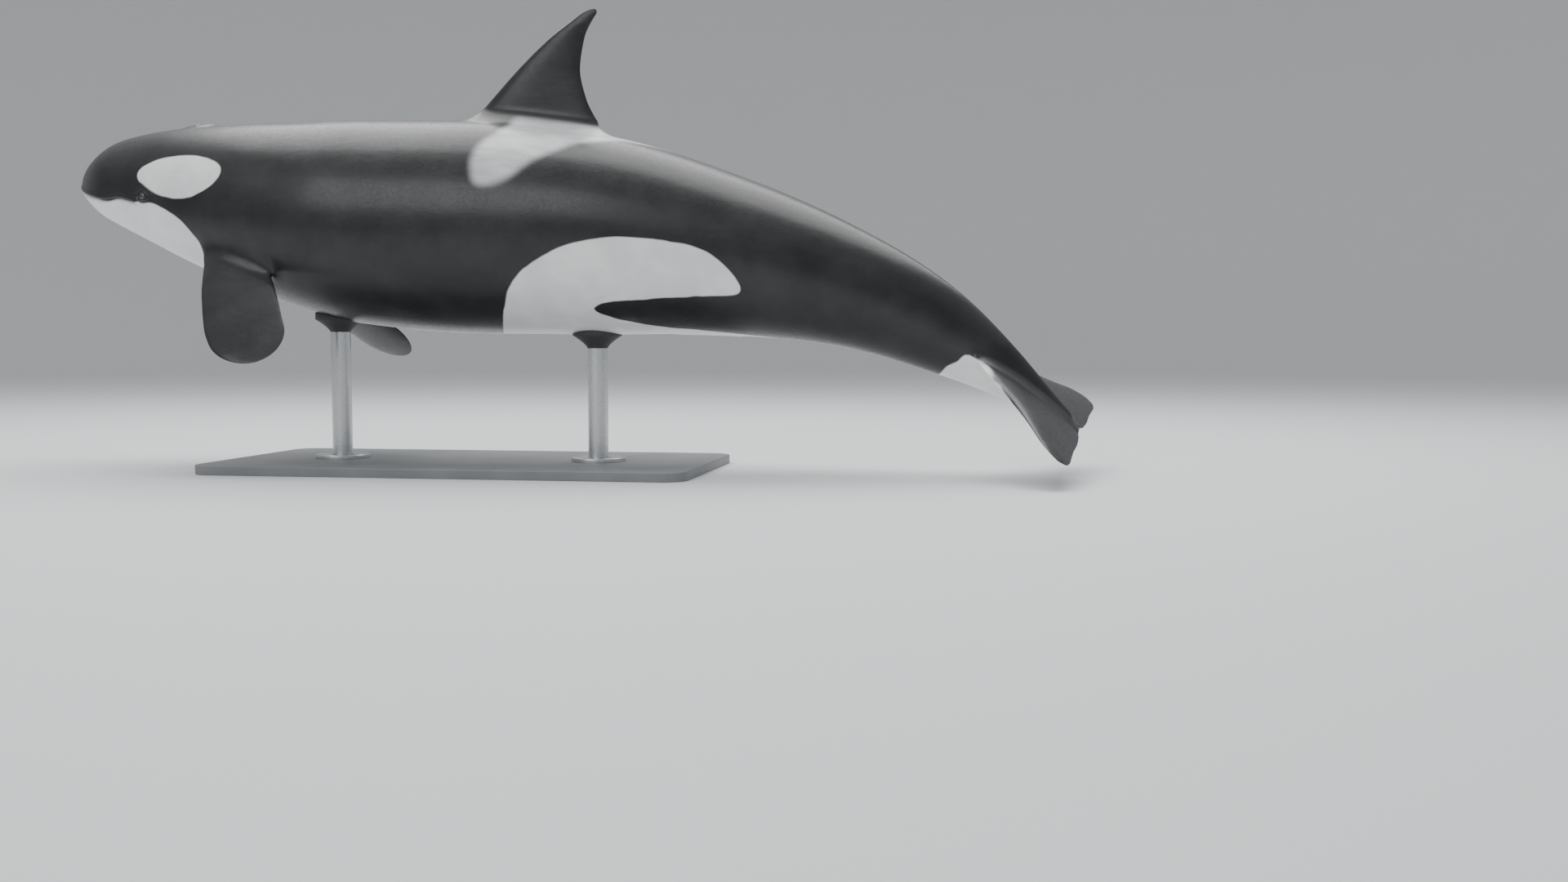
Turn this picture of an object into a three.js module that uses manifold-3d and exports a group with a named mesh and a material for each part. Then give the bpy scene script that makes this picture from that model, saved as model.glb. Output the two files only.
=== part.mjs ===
// Adult female killer whale, life size, held in a shallow dive on a plain display stand.
// Millimetres, +Z up. The head points to -X and the animal's left side faces -Y.
// The origin is under the middle of the stand's base.
import * as THREE from 'three';
import { mergeVertices } from 'three/addons/utils/BufferGeometryUtils.js';
import Module from 'manifold-3d';

const wasm = await Module();
wasm.setup();

// Driving dimensions
const LENGTH = 6000; // snout to fluke notch, along the spine
const GAP = 0.3; // clearance that touching pieces keep
const SPINE_HEIGHT = 1330; // of the spine over the middle of the base
const SUPPORT_SHARE = 0.39; // share of the length that lies over the middle of the base
const AROUND = 40; // points round a section of the body

// Straight body. Each row holds shares of the length: distance behind the snout, height of the back over the
// spine line, depth of the belly under it, half width and level of the widest line, then the squareness.
const SECTIONS = [
  [0.000, 0.029, 0.017, 0.026, -0.004, 2.1], // snout
  [0.030, 0.041, 0.028, 0.040, -0.006, 2.2], // beak
  [0.060, 0.053, 0.038, 0.050, -0.006, 2.2], // forehead
  [0.090, 0.062, 0.047, 0.059, -0.006, 2.2], // corner of the mouth
  [0.130, 0.071, 0.060, 0.068, -0.004, 2.1], // behind the blowhole
  [0.200, 0.083, 0.078, 0.081, -0.004, 2.0], // flippers
  [0.290, 0.094, 0.093, 0.090, -0.004, 2.0], // chest
  [0.390, 0.097, 0.096, 0.091, -0.002, 2.0], // front of the dorsal fin
  [0.500, 0.090, 0.092, 0.083, 0.000, 2.0], // rear of the dorsal fin
  [0.640, 0.068, 0.073, 0.063, 0.000, 1.95], // vent
  [0.740, 0.052, 0.055, 0.043, 0.000, 1.85], // root of the tail
  [0.840, 0.037, 0.038, 0.024, 0.000, 1.7], // tail stock
  [0.900, 0.024, 0.023, 0.015, 0.000, 1.6], // root of the flukes
  [0.950, 0.012, 0.011, 0.010, 0.000, 1.7], // middle of the flukes
  [0.995, 0.004, 0.004, 0.005, 0.000, 1.8], // notch
];
const NOSE = 0.045; // share of the length that rounds the snout off

// Pose: pitch lowers what lies behind, and roll turns the left side down, both in degrees.
const POSE_SHARES = [0, 0.16, 0.4, 0.6, 0.74, 0.88, 1];
const PITCH = [9, 9, 2.2, 10.1, 19.5, 34.6, 39.6];
const ROLL = [3.3, 3.3, 3.3, 3.3, 5.8, 11.5, 11.5];

// Shares of the length where the body is parted, and rings in each length
const HEAD_END = 0.15;
const CHEST_END = 0.34;
const TRUNK_END = 0.62;
const STOCK_END = 0.865;
const PEDUNCLE_END = 0.982;
const RINGS = { nose: 6, head: 8, chest: 11, trunk: 14, stock: 12, peduncle: 8 };

// Mouth line: share of the length and height over the spine line, then the slanted rear edge of the jaw
const MOUTH = {
  shares: [0, 0.03, 0.05, 0.074, 0.0945],
  heights: [-0.007, -0.0105, -0.0115, -0.0072, -0.0092],
};
const MOUTH_STEPS = 16;
const JAW_REAR = { share: 0.128, height: -0.075 };
const JAW_SPACE = { front: -0.01, wide: 1200 }; // reaches past the snout and past both cheeks
const LIP = { radius: 11, offset: 10, sunk: 6, steps: 30, sides: 5, snout: 12 }; // snout: half width in front
const GROOVE_RADIUS = 7;

// Eye and its lids
const EYE = { share: 0.1005, height: -0.001, radius: 27, depth: 14, taper: 14, sides: 14, rows: 10 };
const LIDS = { radius: 26, tube: 8.5, long: 1.2, high: 0.8, proud: 4, sides: 5, steps: 20 };

// Blowhole: a crescent whose horns point forward, half as wide round as arc degrees, on a low mound
const BLOWHOLE = { share: 0.116, outer: 62, shift: -26, depth: 26, arc: 75.6 };
const MOUND = { radius: 120, flat: 0.4, high: 15, sides: 16, rows: 10 };

// Flippers: visible length, widest chord and thickness. At each level out from the root, how wide the blade
// is and how far back its middle lies, as shares of the chord. Then each one's place and attitude.
const FLIPPER = {
  length: 734, chord: 384, thick: 92, tipThick: 16, sunk: 0.16, tipRound: 0.26,
  levels: [0, 0.3, 0.6, 0.8, 1],
  widths: [0.84, 0.96, 1, 0.96, 0.9],
  shifts: [0.055, 0.035, 0.036, 0.064, 0.1],
};
const FLIPPER_LEFT = { share: 0.194, angle: 123.5, out: 40, back: 28.7, twist: 0, side: -1 };
const FLIPPER_RIGHT = { share: 0.203, angle: 138, out: 36.4, back: 42, twist: -14.7, side: 1 };

// Dorsal fin: height over the back, thickness, and leading and trailing edges as shares of the length
const DORSAL = {
  height: 620, thick: 96, tipThick: 14, foot: 500, tipRound: 0.06,
  levels: [0, 0.25, 0.5, 0.75, 0.92, 1],
  lead: [0.392, 0.415, 0.438, 0.463, 0.483, 0.492],
  trail: [0.508, 0.494, 0.488, 0.4905, 0.497, 0.502],
};

// Flukes: half span, thickness, and leading and trailing edges as shares of the length
const FLUKE = {
  span: 770, thick: 80, tipThick: 12, inset: 4,
  levels: [0, 0.15, 0.38, 0.55, 0.72, 0.84, 0.94, 1],
  lead: [0.868, 0.877, 0.904, 0.929, 0.946, 0.956, 0.967, 0.98],
  trail: [0.9825, 0.988, 0.9895, 0.989, 0.9895, 0.99, 0.988, 0.98],
};

// Stand
const BASE = { long: 2700, wide: 1300, thick: 50, corner: 120, edge: 6 };
const RODS = { front: 0.27, rear: 0.52, radius: 55 };
const FOOT = { radius: 150, high: 22, bevel: 7 };
const ROUND = 24; // sides of the stand's round pieces
const CUP = { radius: 135, high: 70, rim: 90, below: 75 };

// Smooth curve through the values at the knots, without overshoot
function through(knots, values, x) {
  const last = knots.length - 1;
  const widths = [];
  const slopes = [];
  for (let i = 0; i < last; i++) {
    widths.push(knots[i + 1] - knots[i]);
    slopes.push((values[i + 1] - values[i]) / widths[i]);
  }
  const tangent = (i) => {
    if (i === 0) return slopes[0];
    if (i === last) return slopes[last - 1];
    if (slopes[i - 1] * slopes[i] <= 0) return 0;
    const before = 2 * widths[i] + widths[i - 1];
    const after = widths[i] + 2 * widths[i - 1];
    return (before + after) / (before / slopes[i - 1] + after / slopes[i]);
  };
  let i = 0;
  while (i < last - 1 && x > knots[i + 1]) i++;
  const s = THREE.MathUtils.clamp((x - knots[i]) / widths[i], 0, 1);
  return (1 + 2 * s) * (1 - s) ** 2 * values[i] + s * (1 - s) ** 2 * widths[i] * tangent(i)
    + s * s * (3 - 2 * s) * values[i + 1] + s * s * (s - 1) * widths[i] * tangent(i + 1);
}

// Sizes of the straight body's section at a share of its length
function section(share, offset = 0) {
  const nose = Math.max(0, 1 - share / NOSE);
  const cap = Math.sqrt(1 - nose * nose) * LENGTH;
  const column = (k) => through(SECTIONS.map((row) => row[0]), SECTIONS.map((row) => row[k]), share);
  return {
    top: column(1) * cap + offset,
    bottom: column(2) * cap + offset,
    half: column(3) * cap + offset,
    level: column(4) * cap,
    square: column(5),
  };
}

// Point of the straight body's skin. The angle runs from 0 at the back to 180 degrees at the belly,
// down the animal's left side.
function skinPoint(share, angle, offset = 0) {
  const { top, bottom, half, level, square } = section(share, offset);
  const across = Math.sin(angle);
  const up = Math.cos(angle);
  const bulge = Math.abs(up) ** (2 / square);
  const y = -half * Math.sign(across) * Math.abs(across) ** (2 / square);
  const z = up >= 0 ? level + (top - level) * bulge : level - (bottom + level) * bulge;
  return new THREE.Vector3(share * LENGTH, y, z);
}

// Half width of the straight body at a height
function sideAt(share, z) {
  const { top, bottom, half, level, square } = section(share);
  const reach = z >= level ? top - level : bottom + level;
  const k = Math.min(1, Math.abs(z - level) / reach);
  return half * (1 - k ** square) ** (1 / square);
}

// Spine of the posed body: points at even shares of the length, from the pitch
const SPINE_STEPS = 408;
const SPINE_REACH = 1.02;
const spine = [new THREE.Vector3()];
for (let i = 1; i <= SPINE_STEPS; i++) {
  const share = ((i - 0.5) / SPINE_STEPS) * SPINE_REACH;
  const pitch = THREE.MathUtils.degToRad(through(POSE_SHARES, PITCH, share));
  const step = new THREE.Vector3(Math.cos(pitch), 0, -Math.sin(pitch));
  spine.push(spine[i - 1].clone().addScaledVector(step, (LENGTH * SPINE_REACH) / SPINE_STEPS));
}
function spinePoint(share) {
  const place = (share / SPINE_REACH) * SPINE_STEPS;
  const i = THREE.MathUtils.clamp(Math.floor(place), 0, SPINE_STEPS - 1);
  return spine[i].clone().lerp(spine[i + 1], place - i);
}
const spineOrigin = spinePoint(SUPPORT_SHARE).sub(new THREE.Vector3(0, 0, SPINE_HEIGHT));

// Moves a point of the straight body to its place in the pose
function bend(point) {
  const share = point.x / LENGTH;
  const pitch = THREE.MathUtils.degToRad(through(POSE_SHARES, PITCH, share));
  const roll = THREE.MathUtils.degToRad(through(POSE_SHARES, ROLL, share));
  const turn = new THREE.Matrix4().makeRotationY(pitch).multiply(new THREE.Matrix4().makeRotationX(roll));
  return new THREE.Vector3(0, point.y, point.z).applyMatrix4(turn).add(spinePoint(share)).sub(spineOrigin);
}

// Closed skin over a row of rings, with a fan to a pole at each end. The quads of the ring's two halves are
// split as mirror images.
function loft(rings, startPole, endPole) {
  const count = rings[0].length;
  const points = [...rings.flat(), startPole, endPole];
  const start = points.length - 2;
  const end = points.length - 1;
  const lastRing = (rings.length - 1) * count;
  const index = [];
  for (let j = 0; j < count; j++) {
    const next = (j + 1) % count;
    index.push(start, next, j, end, lastRing + j, lastRing + next);
    for (let i = 0; i < rings.length - 1; i++) {
      const [a, b, c, d] = [i * count + j, i * count + next, (i + 1) * count + next, (i + 1) * count + j];
      if (j < count / 2) index.push(a, b, c, a, c, d);
      else index.push(a, b, d, b, c, d);
    }
  }
  const geometry = new THREE.BufferGeometry().setFromPoints(points);
  geometry.setIndex(index);
  return facingOut(geometry);
}

// Turns every face round when the geometry holds a negative volume
function facingOut(geometry) {
  const { index, attributes: { position } } = geometry;
  const corner = [new THREE.Vector3(), new THREE.Vector3(), new THREE.Vector3()];
  let volume = 0;
  for (let i = 0; i < index.count; i += 3) {
    corner.forEach((point, k) => point.fromBufferAttribute(position, index.getX(i + k)));
    volume += corner[0].dot(corner[1].cross(corner[2]));
  }
  if (volume < 0) geometry.setIndex(Array.from(index.array).reverse());
  return geometry;
}

function middle(points) {
  return points.reduce((sum, p) => sum.add(p), new THREE.Vector3()).divideScalar(points.length);
}

// Geometry to a solid that can be cut and joined, and back
function solid(geometry) {
  const bare = new THREE.BufferGeometry();
  bare.setAttribute('position', geometry.attributes.position);
  if (geometry.index) bare.setIndex(geometry.index);
  const merged = mergeVertices(bare);
  const vertProperties = Float32Array.from(merged.attributes.position.array);
  const triVerts = Uint32Array.from(merged.index.array);
  return new wasm.Manifold(new wasm.Mesh({ numProp: 3, vertProperties, triVerts }));
}
function geometryOf(body) {
  const { vertProperties, triVerts } = body.getMesh();
  const geometry = new THREE.BufferGeometry();
  geometry.setAttribute('position', new THREE.BufferAttribute(vertProperties, 3));
  geometry.setIndex(new THREE.BufferAttribute(triVerts, 1));
  return geometry;
}
function largest(body) {
  return body.decompose().sort((a, b) => b.volume() - a.volume())[0];
}

function bent(geometry) {
  const { position } = geometry.attributes;
  for (let i = 0; i < position.count; i++) {
    const point = bend(new THREE.Vector3().fromBufferAttribute(position, i));
    position.setXYZ(i, point.x, point.y, point.z);
  }
  return geometry;
}

// Even shares from one end of a length of body to the other, held half a gap inside it
function evenShares(from, to, rings) {
  const inset = GAP / 2 / LENGTH;
  return Array.from({ length: rings + 1 }, (_, i) => {
    return THREE.MathUtils.lerp(from + inset, to - inset, i / rings);
  });
}

function bodyRing(share, offset) {
  return Array.from({ length: AROUND }, (_, j) => skinPoint(share, (j / AROUND) * 2 * Math.PI, offset));
}

// A length of the straight body
function bodyLength(from, to, rings, offset = 0) {
  const loops = evenShares(from, to, rings).map((share) => bodyRing(share, offset));
  return loft(loops, middle(loops[0]), middle(loops.at(-1)));
}

// Fin as rings from its root to its tip. placeOf gives the leading and trailing points of a level,
// thicknessOf the thickness, and normal the direction across the fin.
const FIN_POINTS = 10;
const FIN_LEVELS = [0.1, 0.2, 0.32, 0.45, 0.58, 0.7, 0.8, 0.88, 0.94, 0.98];
const FIN_PEAK = 2.32; // brings the profile's largest value to 1
const FIN_REAR = 0.75; // how sharp the trailing edge is
const FIN_END = { start: 0.125, least: 0.05, slope: 0.9 }; // how thickness runs out at the tip
function finProfile(chord) {
  return FIN_PEAK * Math.sqrt(chord) * (1 - chord) ** FIN_REAR;
}
function fin(rootLevels, placeOf, thicknessOf, normal) {
  const rings = [...rootLevels, ...FIN_LEVELS].map((level) => {
    const { lead, trail } = placeOf(level);
    const point = (k, face) => {
      const chord = (1 - Math.cos((Math.PI * k) / FIN_POINTS)) / 2;
      const half = (face * thicknessOf(level) * finProfile(chord)) / 2;
      return lead.clone().lerp(trail, chord).addScaledVector(normal, half);
    };
    const under = Array.from({ length: FIN_POINTS + 1 }, (_, k) => point(k, -1));
    const over = Array.from({ length: FIN_POINTS - 1 }, (_, k) => point(FIN_POINTS - 1 - k, 1));
    return [...under, ...over];
  });
  const tip = placeOf(1);
  return loft(rings, middle(rings[0]), tip.lead.lerp(tip.trail, 0.5));
}

// Thickness of a fin from root to tip, rounded off at the tip
function taper(root, tip, level) {
  const along = Math.max(0, level);
  const end = Math.sqrt(Math.min(1, (1 - along) / FIN_END.start + FIN_END.least));
  return (tip + (root - tip) * (1 - along) ** FIN_END.slope) * end;
}

// Share of its width that a fin keeps at a level, where its outline rounds off at the tip
function roundEnd(level, round) {
  return Math.sqrt(1 - Math.min(1, Math.max(0, 1 - (1 - level) / round)) ** 2);
}

function headAndJaw() {
  const noseRings = Array.from({ length: RINGS.nose }, (_, i) => {
    return NOSE * (1 - Math.cos(((i + 1) / RINGS.nose) * (Math.PI / 2)));
  });
  const shares = [...noseRings, ...evenShares(NOSE, HEAD_END, RINGS.head).slice(1)];
  const loops = shares.map((share) => bodyRing(share, 0));
  let whole = solid(loft(loops, new THREE.Vector3(0, 0, 0), middle(loops.at(-1))));
  for (const height of [LIP.offset, -LIP.offset]) {
    whole = whole.add(solid(mouthTube(LIP.radius, height, LIP.sunk)));
  }
  for (const side of [-1, 1]) whole = whole.add(solid(lids(side)));
  whole = whole.add(solid(blowholeMound()));
  const groove = solid(mouthTube(GROOVE_RADIUS, 0, 0));
  const jaw = whole.intersect(solid(jawRegion(0))).subtract(groove);
  let head = whole.subtract(solid(jawRegion(GAP))).subtract(groove).subtract(solid(blowholeSlit()));
  for (const side of [-1, 1]) head = head.subtract(solid(eyeball(side, GAP * 1.5)));
  return { head: bent(geometryOf(largest(head))), jaw: bent(geometryOf(largest(jaw))) };
}

function mouthHeight(share) {
  return through(MOUTH.shares, MOUTH.heights, share) * LENGTH;
}

// Space of the lower jaw, seen from the side, and carried across the head
function jawRegion(grow) {
  const corner = MOUTH.shares.at(-1);
  const shape = new THREE.Shape();
  shape.moveTo(JAW_SPACE.front * LENGTH, mouthHeight(0) + grow);
  for (let i = 0; i <= MOUTH_STEPS; i++) {
    const share = (corner * i) / MOUTH_STEPS;
    shape.lineTo(share * LENGTH + (i === MOUTH_STEPS ? grow : 0), mouthHeight(share) + grow);
  }
  shape.lineTo(JAW_REAR.share * LENGTH + grow, JAW_REAR.height * LENGTH);
  shape.lineTo(JAW_SPACE.front * LENGTH, JAW_REAR.height * LENGTH);
  const geometry = new THREE.ExtrudeGeometry(shape, { depth: JAW_SPACE.wide, bevelEnabled: false, steps: 1 });
  return geometry.rotateX(Math.PI / 2).translate(0, JAW_SPACE.wide / 2, 0);
}

// Tube along the mouth line, from one corner round the snout to the other
function mouthTube(radius, above, sunk) {
  const corner = MOUTH.shares.at(-1);
  const step = 1 / LENGTH;
  let front = 0;
  while (sideAt(front, mouthHeight(front) + above) < LIP.snout) front += step;
  const points = [];
  for (let i = -LIP.steps / 2; i <= LIP.steps / 2; i++) {
    const along = i / (LIP.steps / 2);
    const share = THREE.MathUtils.lerp(front, corner, along * along);
    const z = mouthHeight(share) + above;
    const y = Math.sign(along) * Math.max(0, sideAt(share, z) - sunk);
    points.push(new THREE.Vector3(share * LENGTH + (1 - Math.abs(along)) * sunk, y, z));
  }
  const ring = new THREE.Shape(Array.from({ length: LIP.sides }, (_, k) => {
    const angle = (k / LIP.sides) * 2 * Math.PI;
    return new THREE.Vector2(Math.cos(angle), Math.sin(angle)).multiplyScalar(radius);
  }));
  const extrudePath = new THREE.CatmullRomCurve3(points);
  return new THREE.ExtrudeGeometry(ring, { extrudePath, steps: LIP.steps, bevelEnabled: false });
}

// Centre of the eyeball and of its lids in the straight body, on one side
function eyeCentre(side, out) {
  const z = EYE.height * LENGTH;
  return new THREE.Vector3(EYE.share * LENGTH, side * (sideAt(EYE.share, z) + out), z);
}
function eyeball(side, grow) {
  const centre = eyeCentre(side, -EYE.depth);
  const ball = new THREE.SphereGeometry(EYE.radius + grow, EYE.sides, EYE.rows);
  return ball.translate(centre.x, centre.y, centre.z);
}
function lids(side) {
  const centre = eyeCentre(side, LIDS.proud - LIDS.tube);
  const ring = new THREE.TorusGeometry(LIDS.radius, LIDS.tube, LIDS.sides, LIDS.steps);
  ring.scale(LIDS.long, LIDS.high, 1).rotateX(Math.PI / 2);
  ring.rotateZ(side * THREE.MathUtils.degToRad(EYE.taper));
  return ring.translate(centre.x, centre.y, centre.z);
}

function blowholeMound() {
  const { top } = section(BLOWHOLE.share);
  const mound = new THREE.SphereGeometry(MOUND.radius, MOUND.sides, MOUND.rows).scale(1, 1, MOUND.flat);
  return mound.translate(BLOWHOLE.share * LENGTH, 0, top + MOUND.high - MOUND.flat * MOUND.radius);
}

// Crescent between two arcs, cut down into the mound
function blowholeSlit() {
  const { top } = section(BLOWHOLE.share);
  const half = THREE.MathUtils.degToRad(BLOWHOLE.arc);
  const shape = new THREE.Shape();
  shape.absarc(0, 0, BLOWHOLE.outer, -half, half, false);
  const horn = BLOWHOLE.outer * Math.cos(half);
  const inner = Math.atan2(BLOWHOLE.outer * Math.sin(half), horn - BLOWHOLE.shift);
  const reach = (BLOWHOLE.outer * Math.sin(half)) / Math.sin(inner);
  shape.absarc(BLOWHOLE.shift, 0, reach, inner, -inner, true);
  const depth = 2 * BLOWHOLE.depth;
  const slit = new THREE.ExtrudeGeometry(shape, { depth, bevelEnabled: false, curveSegments: 8 });
  const floor = top + MOUND.high - BLOWHOLE.depth;
  return slit.translate(BLOWHOLE.share * LENGTH, 0, floor);
}

function flipper({ share, angle, out, back, twist, side }) {
  const root = skinPoint(share, THREE.MathUtils.degToRad(angle));
  root.y *= -side;
  const [outward, backward, turn] = [out, back, side * twist].map(THREE.MathUtils.degToRad);
  const span = new THREE.Vector3(
    Math.sin(backward),
    side * Math.cos(backward) * Math.sin(outward),
    -Math.cos(backward) * Math.cos(outward),
  );
  const chord = new THREE.Vector3(1, 0, 0).addScaledVector(span, -span.x).normalize();
  chord.applyAxisAngle(span, -side * turn);
  const normal = new THREE.Vector3().crossVectors(span, chord);
  const placeOf = (level) => {
    const along = Math.max(0, level);
    const end = roundEnd(along, FLIPPER.tipRound);
    const half = (FLIPPER.chord / 2) * through(FLIPPER.levels, FLIPPER.widths, along) * end;
    const centre = root.clone().addScaledVector(span, level * FLIPPER.length);
    centre.addScaledVector(chord, FLIPPER.chord * through(FLIPPER.levels, FLIPPER.shifts, along));
    const at = (reach) => centre.clone().addScaledVector(chord, reach);
    return { lead: at(-half), trail: at(half) };
  };
  return fin([-FLIPPER.sunk, 0], placeOf, (level) => taper(FLIPPER.thick, FLIPPER.tipThick, level), normal);
}

function dorsalFin() {
  const sunkHeight = section(DORSAL.lead[2]).top - DORSAL.foot;
  const rise = DORSAL.height + sunkHeight;
  const placeOf = (level) => {
    const height = DORSAL.foot + level * rise;
    const visible = Math.max(0, (level * rise - sunkHeight) / DORSAL.height);
    const [front, rear] = [DORSAL.lead, DORSAL.trail].map((edge) => through(DORSAL.levels, edge, visible));
    const half = ((rear - front) / 2) * roundEnd(visible, DORSAL.tipRound);
    const at = (reach) => new THREE.Vector3(((front + rear) / 2 + reach) * LENGTH, 0, height);
    return { lead: at(-half), trail: at(half) };
  };
  const thicknessOf = (level) => taper(DORSAL.thick, DORSAL.tipThick, level);
  return fin([0], placeOf, thicknessOf, new THREE.Vector3(0, 1, 0));
}

// One fluke with its half of the tail's end, parted along the middle
function fluke(side) {
  const halfRing = (share) => {
    const points = [];
    for (let j = 0; j <= AROUND / 2; j++) {
      const point = skinPoint(share, (j / (AROUND / 2)) * Math.PI);
      point.y = -side * Math.min(point.y, -GAP / 2);
      points.push(point);
    }
    return points;
  };
  const rings = evenShares(STOCK_END, PEDUNCLE_END, RINGS.peduncle).map(halfRing);
  const peduncle = loft(rings, middle(rings[0]), middle(rings.at(-1)));
  const placeOf = (level) => {
    const y = side * THREE.MathUtils.lerp(FLUKE.inset, FLUKE.span, level);
    const at = (edge) => new THREE.Vector3(through(FLUKE.levels, edge, level) * LENGTH, y, 0);
    return { lead: at(FLUKE.lead), trail: at(FLUKE.trail) };
  };
  const thicknessOf = (level) => taper(FLUKE.thick, FLUKE.tipThick, level);
  const blade = fin([0], placeOf, thicknessOf, new THREE.Vector3(0, 0, 1));
  return solid(bent(peduncle)).add(solid(bent(blade)));
}

// Solid of a fin or cup, cut clear of a length of the posed body that it meets
const CLEARANCE = 0.5; // grows the body's sections, so that slanted faces still keep the gap
function clearOf(body, from, to, rings) {
  return geometryOf(largest(body.subtract(solid(bent(bodyLength(from, to, rings, CLEARANCE))))));
}

// Posed point of the belly under a share of the length
function bellyAt(share) {
  return bend(skinPoint(share, Math.PI));
}

// Solid turned round an upright axis, from its outline of radii and heights
function turned(outline) {
  return new THREE.LatheGeometry(outline.map(([x, y]) => new THREE.Vector2(x, y)), ROUND).rotateX(Math.PI / 2);
}

function cup(share) {
  const belly = bellyAt(share);
  const upper = CUP.high + CUP.rim;
  const outline = [[0, 0], [RODS.radius, 0], [CUP.radius, CUP.high], [CUP.radius, upper], [0, upper]];
  return turned(outline).translate(belly.x, 0, belly.z - CUP.below);
}

// Round bevelled plate that a rod stands on
function foot(share) {
  const low = BASE.thick + GAP;
  const high = low + FOOT.high;
  const [side, rim] = [FOOT.radius, FOOT.radius - FOOT.bevel];
  return turned([[0, low], [side, low], [side, high - FOOT.bevel], [rim, high], [0, high]])
    .translate(bellyAt(share).x, 0, 0);
}

function rod(share) {
  const belly = bellyAt(share);
  const low = BASE.thick + FOOT.high + 2 * GAP;
  const high = belly.z - CUP.below - GAP;
  const shaft = new THREE.CylinderGeometry(RODS.radius, RODS.radius, high - low, ROUND).rotateX(Math.PI / 2);
  return shaft.translate(belly.x, 0, (low + high) / 2);
}

function base() {
  const [x, y, r] = [BASE.long / 2 - BASE.edge, BASE.wide / 2 - BASE.edge, BASE.corner];
  const shape = new THREE.Shape();
  shape.absarc(x - r, y - r, r, 0, Math.PI / 2, false);
  shape.absarc(r - x, y - r, r, Math.PI / 2, Math.PI, false);
  shape.absarc(r - x, r - y, r, Math.PI, Math.PI * 1.5, false);
  shape.absarc(x - r, r - y, r, Math.PI * 1.5, Math.PI * 2, false);
  const slab = new THREE.ExtrudeGeometry(shape, {
    depth: BASE.thick - 2 * BASE.edge,
    bevelThickness: BASE.edge,
    bevelSize: BASE.edge,
    bevelSegments: 1,
    curveSegments: 6,
  });
  return slab.translate(0, 0, BASE.edge);
}

const orca = new THREE.Group();
function addNode(name, geometry, color, roughness, metalness = 0) {
  const material = new THREE.MeshStandardMaterial({ color, roughness, metalness, flatShading: true });
  const mesh = new THREE.Mesh(geometry, material);
  mesh.name = name;
  orca.add(mesh);
}

const BLACK = '#0e1013';
const WHITE = '#d8dcdc';
const STEEL = '#a9adb1';
const { head, jaw } = headAndJaw();
addNode('head', head, BLACK, 0.3);
addNode('lower_jaw', jaw, WHITE, 0.3);
addNode('chest', bent(bodyLength(HEAD_END, CHEST_END, RINGS.chest)), BLACK, 0.3);
addNode('trunk', bent(bodyLength(CHEST_END, TRUNK_END, RINGS.trunk)), BLACK, 0.3);
addNode('tail_stock', bent(bodyLength(TRUNK_END, STOCK_END, RINGS.stock)), BLACK, 0.3);
addNode('fluke_left', geometryOf(fluke(-1)), BLACK, 0.35);
addNode('fluke_right', geometryOf(fluke(1)), BLACK, 0.35);

const chestSpan = [HEAD_END, CHEST_END, RINGS.chest];
const trunkSpan = [CHEST_END, TRUNK_END, RINGS.trunk];
addNode('dorsal_fin', clearOf(solid(bent(dorsalFin())), ...trunkSpan), BLACK, 0.3);
addNode('flipper_left', clearOf(solid(bent(flipper(FLIPPER_LEFT))), ...chestSpan), BLACK, 0.3);
addNode('flipper_right', clearOf(solid(bent(flipper(FLIPPER_RIGHT))), ...chestSpan), BLACK, 0.3);
addNode('eye_left', bent(eyeball(-1, 0)), '#1d1a1a', 0.08);
addNode('eye_right', bent(eyeball(1, 0)), '#1d1a1a', 0.08);

addNode('stand_base', base(), '#3a3d41', 0.45, 0.2);
for (const [place, bodySpan] of [['front', chestSpan], ['rear', trunkSpan]]) {
  addNode(`stand_foot_${place}`, foot(RODS[place]), STEEL, 0.3, 0.9);
  addNode(`stand_rod_${place}`, rod(RODS[place]), STEEL, 0.3, 0.9);
  addNode(`stand_cup_${place}`, clearOf(solid(cup(RODS[place])), ...bodySpan), '#1b1c1e', 0.7);
}

export default orca;
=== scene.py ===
"""Adult female killer whale, life size, held in a shallow dive over a plain display stand.

Metres, with +Z up. The body is modelled straight, from the snout along +X, and then bent into the pose.
A share is a place along the body, from 0 at the snout to 1 at the notch between the flukes.
"""
import math

import bmesh
import bpy
import numpy as np
from mathutils import Matrix, Vector
from mathutils.bvhtree import BVHTree
from mathutils.kdtree import KDTree


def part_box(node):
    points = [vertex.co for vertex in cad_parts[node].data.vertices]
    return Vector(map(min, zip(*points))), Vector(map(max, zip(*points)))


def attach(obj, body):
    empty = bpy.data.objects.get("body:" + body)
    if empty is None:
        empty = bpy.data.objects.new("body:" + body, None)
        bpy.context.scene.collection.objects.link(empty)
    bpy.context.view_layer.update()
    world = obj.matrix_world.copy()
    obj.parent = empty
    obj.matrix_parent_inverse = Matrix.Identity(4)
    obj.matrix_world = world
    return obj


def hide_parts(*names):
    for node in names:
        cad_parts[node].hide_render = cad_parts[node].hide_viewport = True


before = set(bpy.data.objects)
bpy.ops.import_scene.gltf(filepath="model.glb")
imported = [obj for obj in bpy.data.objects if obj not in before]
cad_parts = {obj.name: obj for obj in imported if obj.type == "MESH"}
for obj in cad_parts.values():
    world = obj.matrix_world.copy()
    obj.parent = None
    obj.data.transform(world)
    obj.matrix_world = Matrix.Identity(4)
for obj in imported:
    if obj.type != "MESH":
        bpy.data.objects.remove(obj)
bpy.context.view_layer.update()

# Driving dimensions, the same as the solids'
LENGTH = 6.0  # snout to fluke notch, along the spine
SPINE_HEIGHT = 1.33  # of the spine over the floor, at the support share
SUPPORT_SHARE = 0.39
NOSE = 0.045  # share over which the snout rounds off

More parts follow.
